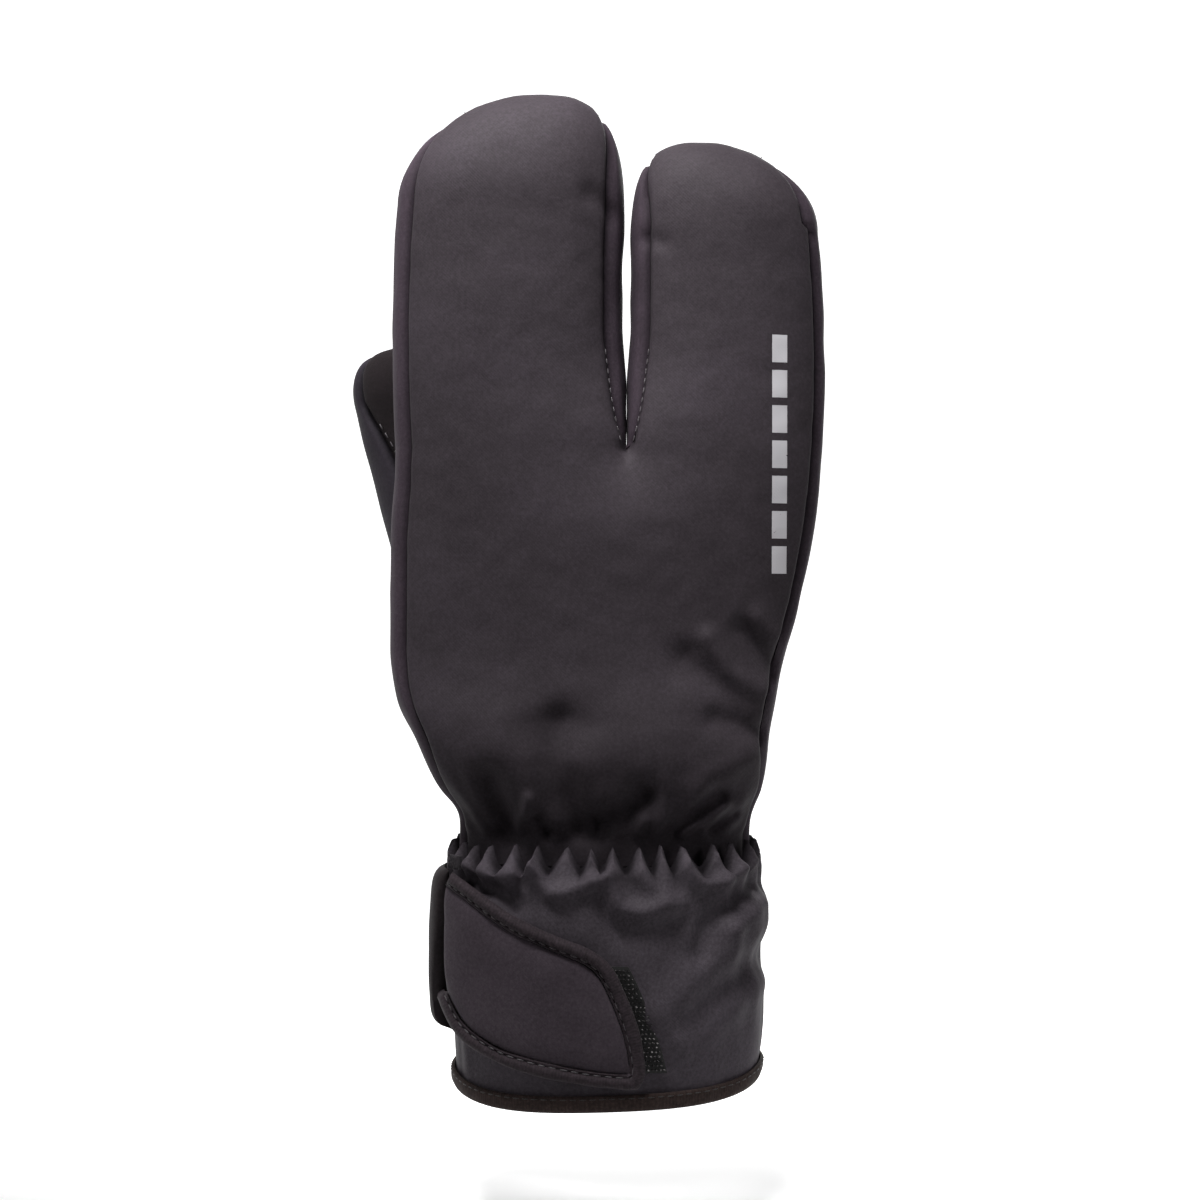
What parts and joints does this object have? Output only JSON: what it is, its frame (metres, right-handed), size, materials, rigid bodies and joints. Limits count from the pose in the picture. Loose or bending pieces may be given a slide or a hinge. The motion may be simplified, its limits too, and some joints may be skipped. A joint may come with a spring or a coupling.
{
  "type": "winter glove",
  "caption": "Padded winter glove for the right hand with two wide finger stalls, a thumb, a gathered cuff and a wrist strap with a hook patch, shown filled as when worn.",
  "frame": {"origin": "middle of the wrist opening, in the plane of the hem", "axes": "+Z from the wrist opening to the fingertips, -Y the back of the hand, +Y the palm, -X the thumb's side"},
  "size_m": [0.1387, 0.0893, 0.2769],
  "materials": {
    "softshell": "matt black stretch softshell cloth with a faint warm tint",
    "gusset_softshell": "matt black stretch softshell cloth",
    "palm_suede": "matt black synthetic suede",
    "thumb_softshell": "matt black softshell cloth",
    "thumb_suede": "rough black synthetic suede",
    "cuff_softshell": "soft-sheen black woven stretch cloth",
    "hem_tape": "ribbed black binding tape",
    "strap_laminate": "matt black foam-backed cloth",
    "strap_tape": "matt black stretch binding",
    "hook_tape": "black hook tape with a slight shine",
    "strap_fold_cloth": "matt black stretch binding",
    "tab_webbing": "black narrow webbing"
  },
  "bodies": {
    "root": {"back_panel": "softshell", "palm_panel": "palm_suede", "index_gusset": "gusset_softshell", "little_gusset": "gusset_softshell", "fourchette": "gusset_softshell", "thumb_outer": "thumb_softshell", "thumb_inner": "thumb_suede", "cuff": "cuff_softshell", "hem_binding": "hem_tape", "wrist_strap": "strap_laminate", "strap_binding": "strap_tape", "hook_patch": "hook_tape", "strap_fold": "strap_fold_cloth", "strap_tab": "tab_webbing"}
  },
  "joints": []
}
